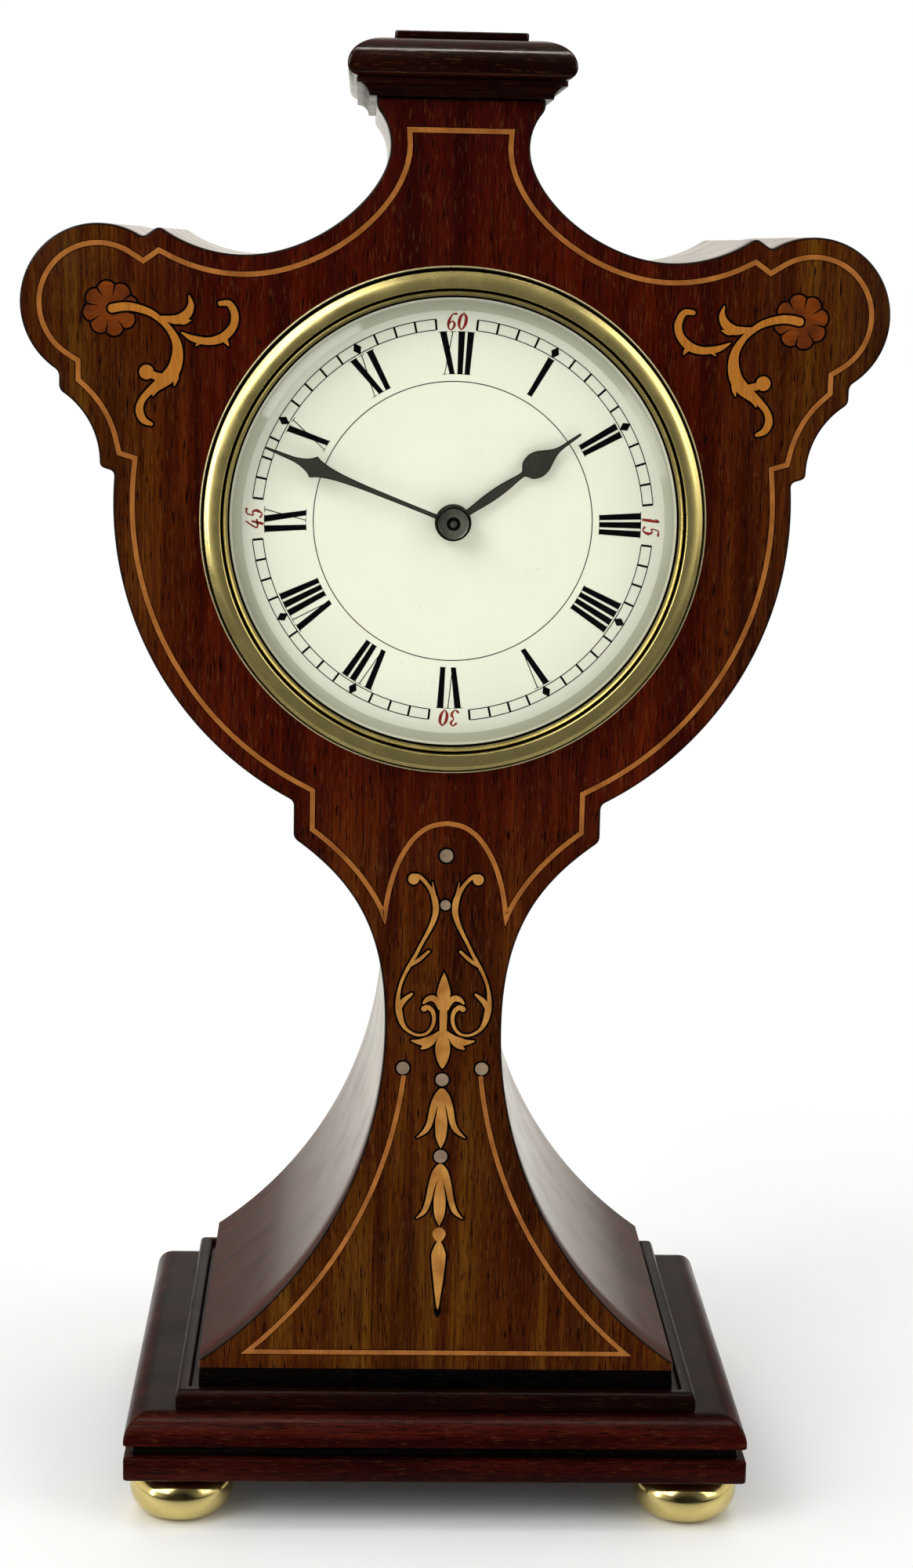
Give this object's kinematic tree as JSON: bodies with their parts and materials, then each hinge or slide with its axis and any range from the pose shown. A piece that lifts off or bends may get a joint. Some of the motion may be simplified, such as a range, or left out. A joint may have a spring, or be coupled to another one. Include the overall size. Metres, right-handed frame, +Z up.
{
  "type": "mantel clock",
  "caption": "Balloon-shaped inlaid mahogany mantel clock with a round glazed dial, turning hands, a hinged rear door and a rear-wound drum movement.",
  "frame": {"origin": "on the table, under the middle of the clock: the centre of the bounding box's underside", "axes": "+Z up, -Y out of the dial, +X to the right for someone who reads the dial"},
  "size_m": [0.1444, 0.088, 0.2584],
  "materials": {
    "mahogany": "French polished mahogany",
    "dark_wood": "ebonised, polished",
    "brass": "polished, aged",
    "steel": "polished",
    "dark_steel": "darkened",
    "enamel": "white enamel on copper",
    "glass": "clear, convex"
  },
  "bodies": {
    "case": {"front_panel": "mahogany", "case_core": "mahogany", "back_panel": "mahogany", "cap_moulding": "mahogany", "cap_cushion": "mahogany", "cap_pad": "mahogany", "plinth_fillet": "dark_wood", "plinth_step": "mahogany", "base_ovolo": "mahogany", "base_groove_strip": "dark_wood", "base_slab": "mahogany", "foot_front_left": "brass", "foot_front_right": "brass", "foot_rear_left": "brass", "foot_rear_right": "brass", "bezel": "brass", "glass": "glass", "dial": "enamel", "movement_drum": "brass", "rear_ring": "brass", "door_hinge_pin": "steel", "strap_top": "brass", "strap_bottom": "brass", "strap_screw_top": "steel", "strap_screw_bottom": "steel", "front_plate": "brass", "back_plate": "brass", "movement_pillar_1": "brass", "movement_pillar_2": "brass", "movement_pillar_3": "brass", "click_screw": "steel", "click_spring": "steel", "minute_stud": "steel", "platform": "brass", "escape_bridge": "brass", "hairspring": "dark_steel", "balance_cock": "brass"},
    "door": {"rear_door": "brass", "door_knob": "brass"},
    "minute_set": {"centre_arbor": "steel", "cannon_pinion": "steel", "minute_hand": "dark_steel", "hand_collet": "dark_steel"},
    "minute_work": {"minute_wheel": "brass"},
    "hour_set": {"hour_wheel": "brass", "hour_hand": "dark_steel"},
    "escape": {"escape_wheel": "steel"},
    "fourth": {"fourth_wheel": "brass"},
    "third": {"third_wheel": "brass"},
    "centre": {"centre_wheel": "brass"},
    "intermediate": {"intermediate_wheel": "brass"},
    "barrel_set": {"barrel": "brass", "barrel_cover": "brass", "mainspring": "dark_steel"},
    "winding": {"barrel_arbor": "steel", "ratchet_wheel": "steel"},
    "click": {"click": "steel"},
    "balance": {"balance_wheel": "brass"},
    "regulator": {"regulator_index": "steel"}
  },
  "joints": [
    {"name": "door_swing", "type": "hinge", "parent": "case", "child": "door", "pos_m": [-0.0446, 0.0381, 0.17785], "axis": [0, 0, 1], "range_deg": [0, 110]},
    {"name": "minute_turn", "type": "hinge", "parent": "case", "child": "minute_set", "pos_m": [0, 0, 0.17785], "axis": [0, 1, 0], "continuous": true},
    {"name": "minute_wheel_turn", "type": "hinge", "parent": "case", "child": "minute_work", "pos_m": [0.00819, -0.029, 0.18359], "axis": [0, 1, 0], "continuous": true},
    {"name": "hour_turn", "type": "hinge", "parent": "case", "child": "hour_set", "pos_m": [0, 0, 0.17785], "axis": [0, 1, 0], "continuous": true},
    {"name": "escape_turn", "type": "hinge", "parent": "case", "child": "escape", "pos_m": [0.00652, 0, 0.19079], "axis": [0, 1, 0], "continuous": true},
    {"name": "fourth_turn", "type": "hinge", "parent": "case", "child": "fourth", "pos_m": [-0.00317, 0, 0.19163], "axis": [0, 1, 0], "continuous": true},
    {"name": "third_turn", "type": "hinge", "parent": "case", "child": "third", "pos_m": [-0.01075, 0, 0.18406], "axis": [0, 1, 0], "continuous": true},
    {"name": "centre_turn", "type": "hinge", "parent": "case", "child": "centre", "pos_m": [0, 0, 0.17785], "axis": [0, 1, 0], "continuous": true},
    {"name": "intermediate_turn", "type": "hinge", "parent": "case", "child": "intermediate", "pos_m": [0.01014, 0, 0.1682], "axis": [0, 1, 0], "continuous": true},
    {"name": "barrel_turn", "type": "hinge", "parent": "case", "child": "barrel_set", "pos_m": [-0.00623, 0, 0.16072], "axis": [0, 1, 0], "continuous": true},
    {"name": "winding_turn", "type": "hinge", "parent": "case", "child": "winding", "pos_m": [-0.00623, 0, 0.16072], "axis": [0, 1, 0], "range_deg": [0, 1440]},
    {"name": "click_lift", "type": "hinge", "parent": "case", "child": "click", "pos_m": [-0.01377, 0, 0.166], "axis": [0, -1, 0], "range_deg": [0, 8], "stiffness_Nm_per_rad": 0.00000008},
    {"name": "balance_swing", "type": "hinge", "parent": "case", "child": "balance", "pos_m": [0.01155, 0.006, 0.19213], "axis": [0, 1, 0], "range_deg": [-220, 220], "stiffness_Nm_per_rad": 0.0000005},
    {"name": "regulator_turn", "type": "hinge", "parent": "case", "child": "regulator", "pos_m": [0.01155, 0.01, 0.19213], "axis": [0, 1, 0], "range_deg": [-25, 25]}
  ],
  "couplings": [
    {"joint": "minute_wheel_turn", "follows": "minute_turn", "ratio": -0.33333},
    {"joint": "hour_turn", "follows": "minute_turn", "ratio": 0.083333},
    {"joint": "third_turn", "follows": "centre_turn", "ratio": -8},
    {"joint": "fourth_turn", "follows": "centre_turn", "ratio": 60},
    {"joint": "escape_turn", "follows": "centre_turn", "ratio": -480},
    {"joint": "intermediate_turn", "follows": "centre_turn", "ratio": -0.16667},
    {"joint": "barrel_turn", "follows": "centre_turn", "ratio": 0.020833}
  ]
}
